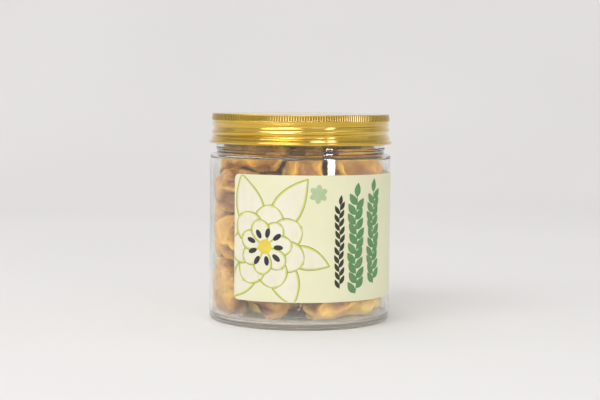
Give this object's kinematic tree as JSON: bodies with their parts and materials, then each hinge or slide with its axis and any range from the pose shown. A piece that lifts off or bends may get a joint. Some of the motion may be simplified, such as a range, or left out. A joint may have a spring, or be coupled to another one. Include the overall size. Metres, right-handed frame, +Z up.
{
  "type": "screw-top jar of dried fruit",
  "caption": "Clear round screw jar packed with soft dried fruit pieces, with a fluted gold aluminium lid, a foam liner and a plain-print wrap label.",
  "frame": {"origin": "middle of the base, on the plane that the jar stands on", "axes": "+Z up along the jar's axis; -Y is the front, where the label's picture starts"},
  "size_m": [0.0866, 0.0866, 0.0975],
  "materials": {
    "clear_plastic": "clear blow-moulded plastic, polished",
    "gold_aluminium": "gold anodised, satin gloss",
    "foam": "white closed-cell foam",
    "label_paper": "satin coated paper, pale cream green",
    "fruit_tan": "soft dried fruit, tan, slightly moist",
    "fruit_amber": "soft dried fruit, amber, slightly moist",
    "fruit_brown": "soft dried fruit, brown, slightly moist"
  },
  "bodies": {
    "jar": {"jar": "clear_plastic", "label": "label_paper", "fruit_01": "fruit_tan", "fruit_02": "fruit_amber", "fruit_03": "fruit_brown", "fruit_04": "fruit_tan", "fruit_05": "fruit_amber", "fruit_06": "fruit_brown", "fruit_07": "fruit_tan", "fruit_08": "fruit_amber", "fruit_09": "fruit_brown", "fruit_10": "fruit_tan", "fruit_11": "fruit_amber", "fruit_12": "fruit_brown", "fruit_13": "fruit_tan", "fruit_14": "fruit_amber", "fruit_15": "fruit_brown", "fruit_16": "fruit_tan", "fruit_17": "fruit_amber", "fruit_18": "fruit_brown", "fruit_19": "fruit_tan", "fruit_20": "fruit_amber", "fruit_21": "fruit_brown", "fruit_22": "fruit_tan", "fruit_23": "fruit_amber", "fruit_24": "fruit_brown", "fruit_25": "fruit_tan", "fruit_26": "fruit_amber", "fruit_27": "fruit_brown", "fruit_28": "fruit_tan", "fruit_29": "fruit_amber", "fruit_30": "fruit_brown", "fruit_31": "fruit_tan", "fruit_32": "fruit_amber"},
    "liner": {"lid_liner": "foam"},
    "lid": {"lid": "gold_aluminium"}
  },
  "joints": [
    {"name": "lid_rise", "type": "slide", "parent": "jar", "child": "liner", "axis": [0, 0, 1], "range_m": [0, 0.0047]},
    {"name": "lid_turn", "type": "hinge", "parent": "liner", "child": "lid", "pos_m": [0, 0, 0.09], "axis": [0, 0, 1], "range_deg": [0, 401]}
  ],
  "couplings": [
    {"joint": "lid_turn", "follows": "lid_rise", "rad_per_m": 1485.4}
  ]
}
